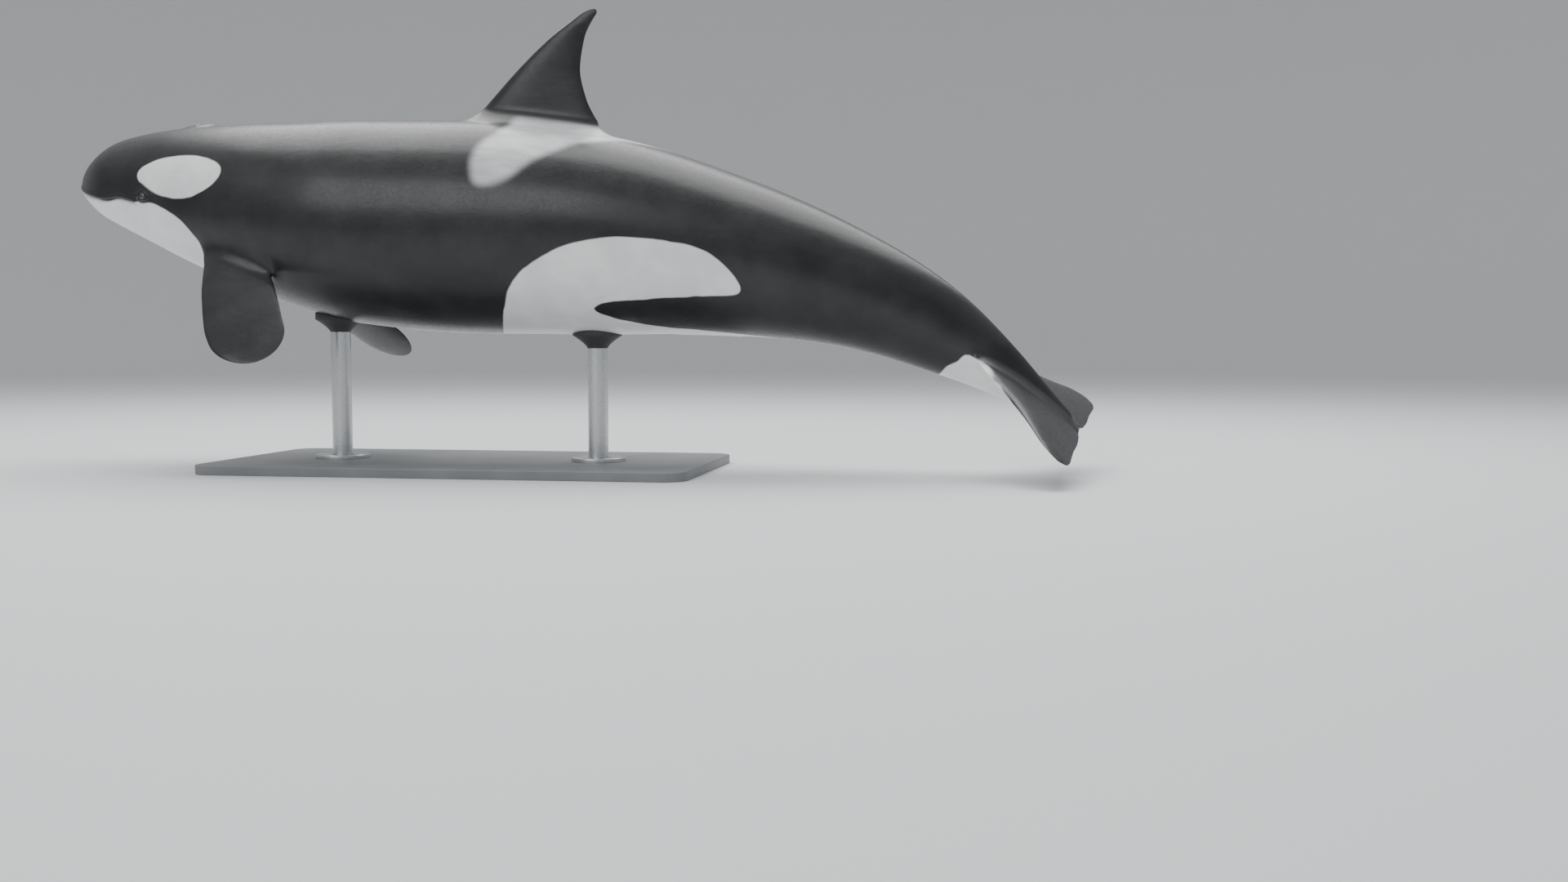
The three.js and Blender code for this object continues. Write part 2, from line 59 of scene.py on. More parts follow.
# Straight body: share, then height of the back, depth of the belly, half width and level of the widest line
# as shares of the length, and the section's squareness
SECTIONS = np.array([
    [0.000, 0.029, 0.017, 0.026, -0.004, 2.1],  # snout
    [0.030, 0.041, 0.028, 0.040, -0.006, 2.2],  # beak
    [0.060, 0.053, 0.038, 0.050, -0.006, 2.2],  # forehead
    [0.090, 0.062, 0.047, 0.059, -0.006, 2.2],  # corner of the mouth
    [0.130, 0.071, 0.060, 0.068, -0.004, 2.1],  # behind the blowhole
    [0.200, 0.083, 0.078, 0.081, -0.004, 2.0],  # flippers
    [0.290, 0.094, 0.093, 0.090, -0.004, 2.0],  # chest
    [0.390, 0.097, 0.096, 0.091, -0.002, 2.0],  # front of the dorsal fin
    [0.500, 0.090, 0.092, 0.083, 0.000, 2.0],  # rear of the dorsal fin
    [0.640, 0.068, 0.073, 0.063, 0.000, 1.95],  # vent
    [0.740, 0.052, 0.055, 0.043, 0.000, 1.85],  # root of the tail
    [0.840, 0.037, 0.038, 0.024, 0.000, 1.7],  # tail stock
    [0.900, 0.024, 0.023, 0.015, 0.000, 1.6],  # root of the flukes
    [0.950, 0.012, 0.011, 0.010, 0.000, 1.7],  # middle of the flukes
    [0.995, 0.004, 0.004, 0.005, 0.000, 1.8],  # notch
])

# Pose: pitch lowers what lies behind, and roll turns the left side down, in degrees
POSE_SHARES = [0, 0.16, 0.4, 0.6, 0.74, 0.88, 1]
PITCH = [9, 9, 2.2, 10.1, 19.5, 34.6, 39.6]
ROLL = [3.3, 3.3, 3.3, 3.3, 5.8, 11.5, 11.5]
SPINE_STEPS = 408
SPINE_REACH = 1.02  # share where the spine's curve ends

# Head
MOUTH_SHARES = [0, 0.03, 0.05, 0.074, 0.0945]
MOUTH_HEIGHTS = [-0.007, -0.0105, -0.0115, -0.0072, -0.0092]
MOUTH_CORNER = 0.0945

EYE_SHARE, EYE_HEIGHT, EYE_RADIUS, EYE_DEPTH = 0.1005, -0.001, 0.027, 0.014
BLOWHOLE_SHARE, BLOWHOLE_RADIUS = 0.116, 0.058

# Fins: levels run from 0 at the root to 1 at the tip. Each fin has a thickness at the root and one at the
# tip, and the part of its levels over which its outline rounds off.
FLIPPER_LENGTH, FLIPPER_CHORD = 0.734, 0.384
FLIPPER_THICK, FLIPPER_TIP, FLIPPER_ROUND = 0.092, 0.016, 0.26
FLIPPER_SUNK = 0.16  # share of its length that is sunk in the body
FLIPPER_LEVELS = [0, 0.3, 0.6, 0.8, 1]
FLIPPER_WIDTHS = [0.84, 0.96, 1, 0.96, 0.9]
FLIPPER_SHIFTS = [0.055, 0.035, 0.036, 0.064, 0.1]
FLIPPERS = {
    "left": {"share": 0.194, "angle": 123.5, "out": 40, "back": 28.7, "twist": 0, "side": -1},
    "right": {"share": 0.203, "angle": 138, "out": 36.4, "back": 42, "twist": -14.7, "side": 1},
}
DORSAL_LEVELS = [0, 0.25, 0.5, 0.75, 0.92, 1]
DORSAL_LEAD = [0.392, 0.415, 0.438, 0.463, 0.483, 0.492]
DORSAL_TRAIL = [0.508, 0.494, 0.488, 0.4905, 0.497, 0.502]
DORSAL_HEIGHT, DORSAL_FOOT = 0.62, 0.5  # above the back, and where its sunk root starts above the spine
DORSAL_THICK, DORSAL_TIP, DORSAL_ROUND = 0.096, 0.014, 0.06
FLUKE_LEVELS = [0, 0.15, 0.38, 0.55, 0.72, 0.84, 0.94, 1]
FLUKE_LEAD = [0.868, 0.877, 0.904, 0.929, 0.946, 0.956, 0.967, 0.975]
FLUKE_TRAIL = [0.9825, 0.988, 0.9895, 0.989, 0.9895, 0.99, 0.9885, 0.985]
FLUKE_SPAN, FLUKE_SUNK = 0.77, 0.004
FLUKE_THICK, FLUKE_TIP, FLUKE_ROUND = 0.08, 0.012, 0.05

# Markings of one side as outlines: share, and degrees from the back down to the belly. Angles below 0 or past
# 180 run over the middle line.
EYE_PATCH = [
    (0.0893, 71), (0.0925, 76.5), (0.1, 80), (0.112, 84), (0.126, 86), (0.14, 86), (0.156, 82.5),
    (0.17, 76.5), (0.1785, 69), (0.179, 63), (0.171, 58.5), (0.157, 55.5), (0.14, 54.5), (0.122, 56),
    (0.105, 60), (0.0935, 65.5),
]
UNDERSIDE = [
    (0, 60), (0.06, 70), (0.085, 84), (0.0975, 91.5), (0.11, 91), (0.13, 96), (0.1476, 104),  # throat
    (0.1595, 114), (0.168, 125), (0.173, 135), (0.18, 148), (0.195, 159), (0.23, 166),  # chest
    (0.3, 170), (0.38, 171.5), (0.424, 172), (0.431, 166), (0.436, 156), (0.4425, 144), (0.4506, 129),
    (0.4606, 117), (0.4786, 107), (0.4965, 100), (0.515, 95), (0.537, 91.2), (0.56, 88.8), (0.585, 87.5),
    (0.61, 87.3), (0.63, 89.5), (0.645, 96), (0.656, 103.5), (0.662, 110), (0.66, 115.5),  # flank lobe
    (0.644, 119), (0.616, 122.5), (0.586, 126), (0.556, 128.5), (0.54, 131), (0.531, 135), (0.536, 139.5),
    (0.554, 145.5), (0.576, 151), (0.6, 156), (0.63, 160), (0.665, 165), (0.695, 172), (0.705, 180),  # vent
    (0.7, 215), (0, 215),
]
TAIL_WHITE = [
    (0.857, 215), (0.857, 165), (0.8585, 140), (0.861, 126), (0.8645, 114), (0.866, 101), (0.869, 93),
    (0.88, 91), (0.92, 90), (0.95, 91), (0.964, 110), (0.966, 215),
]
SADDLE = [
    (0.436, -25), (0.4365, 5), (0.432, 27), (0.4235, 38), (0.4192, 49), (0.4205, 58), (0.4265, 65.5),
    (0.4387, 66), (0.4526, 61.5), (0.4686, 50), (0.4865, 39), (0.4965, 32), (0.5144, 23), (0.5304, 14),
    (0.555, 6), (0.58, -4), (0.57, -25),
]


TINY = 1e-6  # keeps divisions off 0


def through(knots, values, x):
    """Smooth curve through the values at the knots, without overshoot."""
    knots, values, x = (np.asarray(v, float) for v in (knots, values, x))
    widths = np.diff(knots)
    slopes = np.diff(values) / widths
    tangents = np.zeros(len(knots))
    tangents[0], tangents[-1] = slopes[0], slopes[-1]
    for i in range(1, len(knots) - 1):
        if slopes[i - 1] * slopes[i] > 0:
            before, after = 2 * widths[i] + widths[i - 1], widths[i] + 2 * widths[i - 1]
            tangents[i] = (before + after) / (before / slopes[i - 1] + after / slopes[i])
    i = np.clip(np.searchsorted(knots, x, side="right") - 1, 0, len(knots) - 2)
    s = np.clip((x - knots[i]) / widths[i], 0, 1)
    return ((1 + 2 * s) * (1 - s) ** 2 * values[i] + s * (1 - s) ** 2 * widths[i] * tangents[i]
            + s * s * (3 - 2 * s) * values[i + 1] + s * s * (s - 1) * widths[i] * tangents[i + 1])


def smoothstep(low, high, x):
    """Smooth rise from 0 to 1 as x goes from low to high, or a fall where high is the smaller."""
    s = np.clip((x - low) / (high - low), 0, 1)
    return s * s * (3 - 2 * s)


def hump(x, width):
    """Smooth hump, 1 high at 0."""
    return np.exp(-((x / width) ** 2))


# Straight body
def section(share):
    """Height of the back, depth of the belly, half width, level of the widest line, and squareness."""
    cap = LENGTH * np.sqrt(1 - np.clip(1 - share / NOSE, 0, 1) ** 2)
    top, bottom, half, level, square = (through(SECTIONS[:, 0], SECTIONS[:, k], share) for k in range(1, 6))
    return top * cap, bottom * cap, half * cap, level * cap, square


def skin_point(share, angle):
    """Point of the straight skin, at an angle down the left from 0 at the back to 180 at the belly."""
    share, angle = np.broadcast_arrays(np.asarray(share, float), np.radians(angle))
    top, bottom, half, level, square = section(share)
    across, up = np.sin(angle), np.cos(angle)
    bulge = np.abs(up) ** (2 / square)
    y = -half * np.sign(across) * np.abs(across) ** (2 / square)
    z = np.where(up >= 0, level + (top - level) * bulge, level - (bottom + level) * bulge)
    return np.stack([share * LENGTH, y, z], -1)


def side_at(share, z):
    """Half width of the straight body at a height."""
    top, bottom, half, level, square = section(np.asarray(share, float))
    reach = np.where(z >= level, top - level, bottom + level)
    return half * (1 - np.clip(np.abs(z - level) / reach, 0, 1) ** square) ** (1 / square)


def skin_angle(points):
    """Degrees from the back to the belly, alike on both sides, and how far points lie out of the skin."""
    top, bottom, half, level, square = section(points[:, 0] / LENGTH)
    y, z = points[:, 1], points[:, 2] - level
    reach = np.where(points[:, 2] >= level, top - level, bottom + level)
    across = np.abs(y) / np.maximum(half, TINY)
    up = np.abs(z) / np.maximum(reach, TINY)
    angle = np.degrees(np.arctan2(across ** (square / 2), np.sign(z) * up ** (square / 2)))
    size = (across ** square + up ** square) ** (1 / square)
    return angle, (size - 1) * np.hypot(y, z) / np.maximum(size, TINY)


# Pose
def spine_curve():
    """Points of the spine from the snout on, summed up from its pitch."""
    share = (np.arange(SPINE_STEPS) + 0.5) / SPINE_STEPS * SPINE_REACH
    pitch = np.radians(through(POSE_SHARES, PITCH, share))
    step = LENGTH * SPINE_REACH / SPINE_STEPS
    steps = np.stack([np.cos(pitch), np.zeros_like(pitch), -np.sin(pitch)], -1) * step
    return np.vstack([[0, 0, 0], np.cumsum(steps, 0)])


SPINE = spine_curve()


def spine_point(share):
    place = np.asarray(share) / SPINE_REACH * SPINE_STEPS
    return np.stack([np.interp(place, np.arange(SPINE_STEPS + 1), SPINE[:, k]) for k in range(3)], -1)


# What the spine's points lose, to bring its support share to its height above the origin
SPINE_ORIGIN = spine_point(SUPPORT_SHARE) - np.array([0, 0, SPINE_HEIGHT])


def bend(points):
    """Points of the straight body, at their places in the pose."""
    share = points[..., 0] / LENGTH
    pitch = np.radians(through(POSE_SHARES, PITCH, share))
    roll = np.radians(through(POSE_SHARES, ROLL, share))
    y = points[..., 1] * np.cos(roll) - points[..., 2] * np.sin(roll)
    z = points[..., 1] * np.sin(roll) + points[..., 2] * np.cos(roll)
    return spine_point(share) - SPINE_ORIGIN + np.stack([z * np.sin(pitch), y, z * np.cos(pitch)], -1)


# Meshes
def shade_smooth(mesh):
    mesh.polygons.foreach_set("use_smooth", [True] * len(mesh.polygons))


def new_object(name, verts, faces):
    mesh = bpy.data.meshes.new(name)
    mesh.from_pydata([tuple(v) for v in verts], [], faces)
    mesh.update()
    shade_smooth(mesh)
    obj = bpy.data.objects.new(name, mesh)
    bpy.context.scene.collection.objects.link(obj)
    return obj


def loft(rings, start_pole, end_pole):
    """Vertices and faces of a closed skin over rings of points, with a fan to a pole at each end."""
    rows, count = rings.shape[:2]
    verts = np.vstack([rings.reshape(-1, 3), start_pole, end_pole])
    grid = np.arange(rows * count).reshape(rows, count)
    near, far = grid, np.roll(grid, -1, axis=1)
    quads = np.stack([near[:-1], near[1:], far[1:], far[:-1]], -1).reshape(-1, 4)
    start, end = rows * count, rows * count + 1
    fans = np.vstack([np.stack([np.full(count, start), near[0], far[0]], -1),
                      np.stack([np.full(count, end), far[-1], near[-1]], -1)])
    return verts, [*quads.tolist(), *fans.tolist()]


def face_out(obj):
    """Turns every face round if the closed mesh holds a negative volume."""
    mesh = obj.data
    mesh.calc_loop_triangles()
    co = vertex_array(mesh)
    tris = read(mesh.loop_triangles, "vertices", 3, np.int32)
    a, b, c = (co[tris[:, k]] for k in range(3))
    if np.einsum("ij,ij->i", a, np.cross(b, c)).sum() < 0:
        mesh.flip_normals()
    return obj


def read(items, name, width, kind=np.float32):
    """One property of all the items, in rows of a width."""
    values = np.zeros(len(items) * width, kind)
    items.foreach_get(name, values)
    return values.reshape(-1, width)


def vertex_array(mesh):
    return read(mesh.vertices, "co", 3).astype(float)


def normal_array(mesh):
    return read(mesh.vertices, "normal", 3).astype(float)


def set_vertices(mesh, co):
    mesh.vertices.foreach_set("co", co.astype(np.float32).ravel())
    mesh.update()


# Body and fins, straight
BODY_END = 0.974  # share, inside the flukes and short of the notch
HEAD_END = 0.17
NOSE_START = 0.02  # first row, as a part of the snout's quarter turn
NOSE_ROWS, HEAD_ROWS, REST_ROWS, SIDE_POINTS = 70, 200, 400, 150
# Where rows and points lie closer together: place, width and how much closer
ROW_PEAKS = [(EYE_SHARE, 0.008, 2.5), (BLOWHOLE_SHARE, 0.012, 0.8)]
POINT_PEAKS = [(91, 12, 2.6), (0, 8, 1.0), (180, 10, 0.6)]
FINE_STEPS = 4000


def spread(low, high, count, peaks):
    """Places from low to high, closer together near the peaks."""
    fine = np.linspace(low, high, FINE_STEPS)
    density = 1 + sum(gain * hump(fine - place, width) for place, width, gain in peaks)
    reach = np.concatenate([[0], np.cumsum((density[1:] + density[:-1]) / 2)])
    return np.interp(np.linspace(0, reach[-1], count), reach, fine)


def straight_body():
    nose = NOSE * (1 - np.cos(np.linspace(NOSE_START, 1, NOSE_ROWS) * math.pi / 2))
    head = spread(NOSE, HEAD_END, HEAD_ROWS, ROW_PEAKS)[1:]
    rest = np.linspace(HEAD_END, BODY_END, REST_ROWS)[1:]
    shares = np.concatenate([nose, head, rest])
    half_turn = spread(0, 180, SIDE_POINTS, POINT_PEAKS)
    angles = np.concatenate([half_turn, 360 - half_turn[-2:0:-1]])
    rings = skin_point(shares[:, None], angles[None, :])
    verts, faces = loft(rings, np.zeros(3), rings[-1].mean(0))
    return face_out(new_object("orca_skin", verts, faces))


FIN_POINTS = 44  # on each face, from the front edge to the rear edge
FIN_THINS = 0.75  # power with which a fin's section thins towards its rear edge
FIN_PEAK = 2.32  # brings the section's largest value to 1
ROOT_RINGS, FIN_RINGS = 16, 90
LAST_RING = 0.985  # as a part of a quarter turn, short of the tip's point
TAPER_POWER = 0.9
TIP_CLOSES, TIP_LEFT = 8, 0.02  # how fast the thickness closes at the tip, and the share that is left there


def taper(root, tip, level):
    """Thickness of a fin at a level."""
    left = 1 - np.maximum(0, level)
    return (tip + (root - tip) * left ** TAPER_POWER) * np.sqrt(np.minimum(1, left * TIP_CLOSES + TIP_LEFT))


def fin(name, levels, lead_of, trail_of, thickness, normal):
    """Closed fin: rings from its sunk root to its tip."""
    turn = np.arange(2 * FIN_POINTS) / FIN_POINTS * math.pi
    chord = (1 - np.cos(turn)) / 2
    half = -np.sign(math.pi - turn) * FIN_PEAK * np.sqrt(chord) * (1 - chord) ** FIN_THINS / 2
    lead, trail, thick = lead_of(levels), trail_of(levels), thickness(levels)
    rings = lead[:, None] + (trail - lead)[:, None] * chord[None, :, None]
    rings = rings + (thick[:, None] * half[None, :])[..., None] * normal
    tip = (lead_of(np.array([1.0])) + trail_of(np.array([1.0])))[0] / 2
    verts, faces = loft(rings, rings[0].mean(0), tip)
    made = face_out(new_object(name, verts, faces))
    made["across"] = [float(v) for v in normal]
    return made


def round_end(level, share):
    """Share of its width that a fin keeps at a level, where its outline rounds off at the tip."""
    return np.sqrt(1 - np.clip(1 - (1 - level) / share, 0, 1) ** 2)


def fin_levels(sunk):
    """Levels from the sunk root to just short of the tip, closer together towards the tip."""
    below = np.linspace(-sunk, 0, ROOT_RINGS)[:-1]
    return np.concatenate([below, np.sin(np.linspace(0, LAST_RING, FIN_RINGS) * math.pi / 2)])


def edge_x(levels, leads, trails, rounding, level, sign):
    """Place along the body of a fin's front edge, sign -1, or of its rear edge, sign 1."""
    front, rear = (through(levels, shares, level) for shares in (leads, trails))
    return ((front + rear) / 2 + sign * (rear - front) / 2 * round_end(level, rounding)) * LENGTH


def flipper(name, share, angle, out, back, twist, side):
    """Flipper on side -1 (left) or 1 (right), turned out, back and round its own length by angles."""
    root = skin_point(share, angle) * np.array([1, -side, 1])
    outward, backward = math.radians(out), math.radians(back)
    span = Vector((math.sin(backward), side * math.cos(backward) * math.sin(outward),
                   -math.cos(backward) * math.cos(outward)))
    chord = (Vector((1, 0, 0)) - span * span.x).normalized()
    chord.rotate(Matrix.Rotation(-math.radians(twist), 3, span))
    normal = np.array(span.cross(chord))
    span, chord = np.array(span), np.array(chord)

    def edge(sign):
        def place(level):
            along = np.maximum(0, level)
            half = through(FLIPPER_LEVELS, FLIPPER_WIDTHS, along) / 2 * round_end(along, FLIPPER_ROUND)
            across = FLIPPER_CHORD * (through(FLIPPER_LEVELS, FLIPPER_SHIFTS, along) + sign * half)
            return root + np.outer(level * FLIPPER_LENGTH, span) + np.outer(across, chord)
        return place
    return fin(name, fin_levels(FLIPPER_SUNK), edge(-1), edge(1),
               lambda level: taper(FLIPPER_THICK, FLIPPER_TIP, level), normal)


def dorsal_fin():
    sunk = section(np.array(DORSAL_LEAD[2]))[0] - DORSAL_FOOT
    rise = DORSAL_HEIGHT + sunk

    def edge(sign):
        def place(level):
            visible = np.clip((level * rise - sunk) / DORSAL_HEIGHT, 0, 1)
            x = edge_x(DORSAL_LEVELS, DORSAL_LEAD, DORSAL_TRAIL, DORSAL_ROUND, visible, sign)
            return np.stack([x, np.zeros_like(x), DORSAL_FOOT + level * rise], -1)
        return place
    return fin("dorsal", fin_levels(0), edge(-1), edge(1),
               lambda level: taper(DORSAL_THICK, DORSAL_TIP, level), np.array([0, 1, 0]))


def fluke(side):
    def edge(sign):
        def place(level):
            x = edge_x(FLUKE_LEVELS, FLUKE_LEAD, FLUKE_TRAIL, FLUKE_ROUND, np.maximum(0, level), sign)
            return np.stack([x, side * level * FLUKE_SPAN, np.zeros_like(x)], -1)
        return place
    return fin(f"fluke{side}", fin_levels(FLUKE_SUNK), edge(-1), edge(1),
               lambda level: taper(FLUKE_THICK, FLUKE_TIP, level), np.array([0, 0, 1]))


# How far off the body a fin's root starts to spread, and the part of it that its two edges take
ROOT_FLARE = {"flipper_left": (0.08, 0.25), "flipper_right": (0.08, 0.25), "dorsal": (0.1, 1.0)}
FLUKE_FLARE = (0.05, 0.3)
FLARE_POWER, FLARE_RISE = 2.5, 0.42
FLARE_UNDER = 0.05  # depth under the skin where the spread has faded out


def flare(obj):
    """Spreads a fin where it nears the body, so that it grows out of it."""
    reach, at_edges = ROOT_FLARE.get(obj.name, FLUKE_FLARE)
    co, normals = vertex_array(obj.data), normal_array(obj.data)
    _, out = skin_angle(co)
    facing = at_edges + (1 - at_edges) * np.abs(normals @ np.array(obj["across"]))
    near = np.clip(1 - out / reach, 0, 1) ** FLARE_POWER
    grow = reach * near * FLARE_RISE * facing * smoothstep(-FLARE_UNDER, 0, out)
    set_vertices(obj.data, co + normals * grow[:, None])


def join_fins(body, fins):
    """One closed skin of body and fins, and the places of its vertices along their seams."""
    for number, one in enumerate(fins):
        one.data.materials.append(bpy.data.materials.new("fin_mark"))
        modifier = body.modifiers.new(f"join{number}", "BOOLEAN")
        modifier.operation = "UNION"
        modifier.solver = "MANIFOLD"
        modifier.material_mode = "TRANSFER"
        modifier.object = one
    body.data.materials.append(bpy.data.materials.new("body_mark"))
    graph = bpy.context.evaluated_depsgraph_get()
    joined = bpy.data.meshes.new_from_object(body.evaluated_get(graph))
    body.modifiers.clear()
    body.data = joined
    for one in fins:
        bpy.data.objects.remove(one)
    of_body = np.array([mark.name.startswith("body_mark") for mark in joined.materials])
    faces = of_body[read(joined.polygons, "material_index", 1, np.int32)[:, 0]]
    corners = read(joined.loops, "vertex_index", 1, np.int32)[:, 0]
    of_corner = np.repeat(faces, read(joined.polygons, "loop_total", 1, np.int32)[:, 0])
    on_body = np.bincount(corners, of_corner, len(joined.vertices)) > 0
    on_fin = np.bincount(corners, ~of_corner, len(joined.vertices)) > 0
    joined.materials.clear()
    seam = vertex_array(joined)[on_body & on_fin]
    clean(joined)
    return seam


WELD_ROUNDS = 6


def clean(mesh):
    """Drops enclosed shells, and welds vertices with two edges to a neighbour."""
    work = bmesh.new()
    work.from_mesh(mesh)
    parts, seen = [], set()
    for first in work.verts:
        if first in seen:
            continue
        seen.add(first)
        part = [first]
        for vert in part:
            for edge in vert.link_edges:
                other = edge.other_vert(vert)
                if other not in seen:
                    seen.add(other)
                    part.append(other)
        parts.append(part)
    parts.sort(key=len)
    for part in parts[:-1]:
        bmesh.ops.delete(work, geom=part, context="VERTS")
    for _ in range(WELD_ROUNDS):
        spare = [vert for vert in work.verts if len(vert.link_edges) == 2]
        nearby = [vert.link_edges[0].other_vert(vert) for vert in spare]
        kept = set(nearby) - set(spare)
        targets = {vert: other for vert, other in zip(spare, nearby) if other in kept}
        bmesh.ops.weld_verts(work, targetmap=targets)
    work.to_mesh(mesh)
    work.free()


def distance_to(points, others, reach):
    """Distance of each point to the nearest of the others, up to a reach."""
    tree = KDTree(len(others))
    for i, p in enumerate(others):
        tree.insert(p, i)
    tree.balance()
    low, high = others.min(0) - reach, others.max(0) + reach
    near = np.all((points > low) & (points < high), axis=1)
    result = np.full(len(points), reach)
    result[near] = [min(reach, tree.find(p)[2]) for p in points[near]]
    return result


SEAM_REACH, SEAM_CORE = 0.09, 0.01  # metres from a seam where the smoothing ends, and where it is full
SEAM_ROUNDS, SEAM_STEP = 90, 0.6
TAIL_START, TAIL_SMOOTHING = 0.84, 0.25  # the flukes' thin roots take less of it


def smooth_seams(mesh, seam):
    """Rounds the corner where fins meet the body, most at the seam."""
    co, edges = vertex_array(mesh), read(mesh.edges, "vertices", 2, np.int32)
    weight = smoothstep(SEAM_REACH, SEAM_CORE, distance_to(co, seam, SEAM_REACH))
    weight[co[:, 0] > TAIL_START * LENGTH] *= TAIL_SMOOTHING
    active = weight > 0
    edges = edges[active[edges].any(1)]
    ends = np.concatenate([edges, edges[:, ::-1]])
    count = np.bincount(ends[:, 0], minlength=len(co))
    for _ in range(SEAM_ROUNDS):
        total = np.stack([np.bincount(ends[:, 0], co[ends[:, 1], k], len(co)) for k in range(3)], -1)
        mean = total[active] / count[active][:, None]
        co[active] += (mean - co[active]) * (SEAM_STEP * weight[active])[:, None]
    set_vertices(mesh, co)


# Relief of the skin, in metres: a ridge, or a groove if its rise is below 0, is its rise, its distance from a
# line, and its width
MOUTH_RIDGES = [(-0.011, 0, 0.0055), (0.0055, 0.019, 0.013), (0.0045, -0.018, 0.012)]
MOUTH_FADE = (0.006, -0.008)  # shares from the corner of the mouth where its relief ends and where it is full
LEAST_SLOPE = 0.4  # limits the distance from the mouth line where the skin lies flat
BLOWHOLE_TURN = 1.25  # half the slit's turn, in radians
BLOWHOLE_MOUND = 0.014
BLOWHOLE_FOOT, BLOWHOLE_TOP = 0.13, 0.03  # radii where the mound starts and where it is full
BLOWHOLE_RIDGES = [(0.004, 0.016, 0.009), (-0.02, 0, 0.0075)]
CROWN = 0.1  # height over the spine where the blowhole's relief starts
VENT_SHARE, VENT_WINDOW = 0.632, 0.06  # its middle, and the shares to either side that it may touch
VENT_HALF = 0.16
VENT_RIDGES = [(0.005, 0.022, 0.016), (-0.012, 0, 0.008)]
NAVEL_SHARE, NAVEL_RIDGE = 0.47, (-0.006, 0, 0.02)

LID_LONG, LID_HIGH = 0.0255, 0.0135  # half sizes of the opening between the lids
LID_WINDOW = 0.14
LID_SINK, LID_EDGE, LID_FLOOR = -0.02, 0.002, -0.006  # fall inside the opening, and where it starts and ends
LID_RIDGES = [(0.0085, 0.006, 0.007), (-0.0035, 0.019, 0.005)]
BROW_RIDGE, BROW_LOW, BROW_HIGH = (0.004, 0.03, 0.011), -0.02, 0.03


def mouth_line(share):
    return through(MOUTH_SHARES, MOUTH_HEIGHTS, share) * LENGTH


def eye_place(side, out):
    z = EYE_HEIGHT * LENGTH
    return np.array([EYE_SHARE * LENGTH, side * (float(side_at(EYE_SHARE, z)) + out), z])


def ridge(distance, rise, place, width):
    return rise * hump(distance - place, width)


def relief(mesh):
    """Presses the mouth line, lips, eyes, blowhole and slits into the straight skin."""
    co, normals = vertex_array(mesh), normal_array(mesh)
    share = co[:, 0] / LENGTH
    rise = np.zeros(len(co))
    head = share < HEAD_END

    above = (co[:, 2] - mouth_line(share)) / np.maximum(np.sqrt(1 - normals[:, 2] ** 2), LEAST_SLOPE)
    fade = smoothstep(MOUTH_CORNER + MOUTH_FADE[0], MOUTH_CORNER + MOUTH_FADE[1], share) * head
    for sizes in MOUTH_RIDGES:
        rise += ridge(above, *sizes) * fade

    x, y = co[:, 0] - BLOWHOLE_SHARE * LENGTH, co[:, 1]
    on_top = (co[:, 2] > CROWN) & head
    turn = np.clip(np.arctan2(y, x), -BLOWHOLE_TURN, BLOWHOLE_TURN)
    arc = np.hypot(x - BLOWHOLE_RADIUS * np.cos(turn), y - BLOWHOLE_RADIUS * np.sin(turn))
    rise += on_top * BLOWHOLE_MOUND * smoothstep(BLOWHOLE_FOOT, BLOWHOLE_TOP, np.hypot(x, y))
    for sizes in BLOWHOLE_RIDGES:
        rise += on_top * ridge(arc, *sizes)

    slit = np.hypot(np.maximum(0, np.abs(co[:, 0] - VENT_SHARE * LENGTH) - VENT_HALF), co[:, 1])
    belly = (co[:, 2] < 0) & (np.abs(share - VENT_SHARE) < VENT_WINDOW)
    for sizes in VENT_RIDGES:
        rise += belly * ridge(slit, *sizes)
    navel = np.hypot(co[:, 0] - NAVEL_SHARE * LENGTH, co[:, 1])
    rise += (co[:, 2] < 0) * ridge(navel, *NAVEL_RIDGE)

    co = co + normals * rise[:, None]
    for side in (-1, 1):
        co = eye_socket(co, normals, side)
    set_vertices(mesh, co)


def eye_socket(co, normals, side):
    """Sinks the skin inside the lids' opening, and raises the lids round it."""
    centre = eye_place(side, 0)
    x, z = co[:, 0] - centre[0], co[:, 2] - centre[2]
    near = (np.abs(x) < LID_WINDOW) & (np.abs(z) < LID_WINDOW) & (co[:, 1] * side > 0)
    size = np.sqrt((x / LID_LONG) ** 2 + (z / LID_HIGH) ** 2)
    edge = (size - 1) * np.hypot(x, z) / np.maximum(size, TINY)
    rise = LID_SINK * smoothstep(LID_EDGE, LID_FLOOR, edge)
    for sizes in LID_RIDGES:
        rise += ridge(edge, *sizes)
    rise += ridge(edge, *BROW_RIDGE) * smoothstep(BROW_LOW, BROW_HIGH, z)
    return co + normals * (rise * near)[:, None]


# Markings
CURVE_PARTS = 5  # of an outline's curve between two of its points
WHITE_REACH = 0.05  # metres inside or outside the white that still count
MOUTH_BLEND = (-0.006, 0.003)  # shares from the corner of the mouth where the white leaves the mouth line
TAIL_CLEAR, FLIPPER_CLEAR = 0.01, 0.014  # height over the body's skin where white starts to end
FIN_FALL = 1.5  # how fast it ends there
FLIPPER_ZONE = (0.12, 0.42)  # shares where the flippers lie
SADDLE_EDGE = (-0.035, 0.03)
SADDLE_CLEAR = (0.05, 0.01)  # heights up the dorsal fin where the saddle has ended and where it starts to

# White under the flukes, in metres, with levels from the root to the tip
FLUKE_FRONT, FLUKE_RETREAT, RETREAT_LEVELS = 0.04, 0.1, (0.3, 0.75)  # past the front edge, and back from it
FLUKE_BORDER, BORDER_GROWTH = 0.07, 0.05  # black along the rear edge at the root, and what the tip adds
FLUKE_WHITE_END = 0.88  # level
WRAP_HEIGHT, WRAP_LEVELS = 0.018, (0.5, 0.2)  # how high the white wraps up the front edge near the root
WRAP_START, WRAP_END = (-0.03, 0.03), (0.16, 0.06)  # distances behind that edge


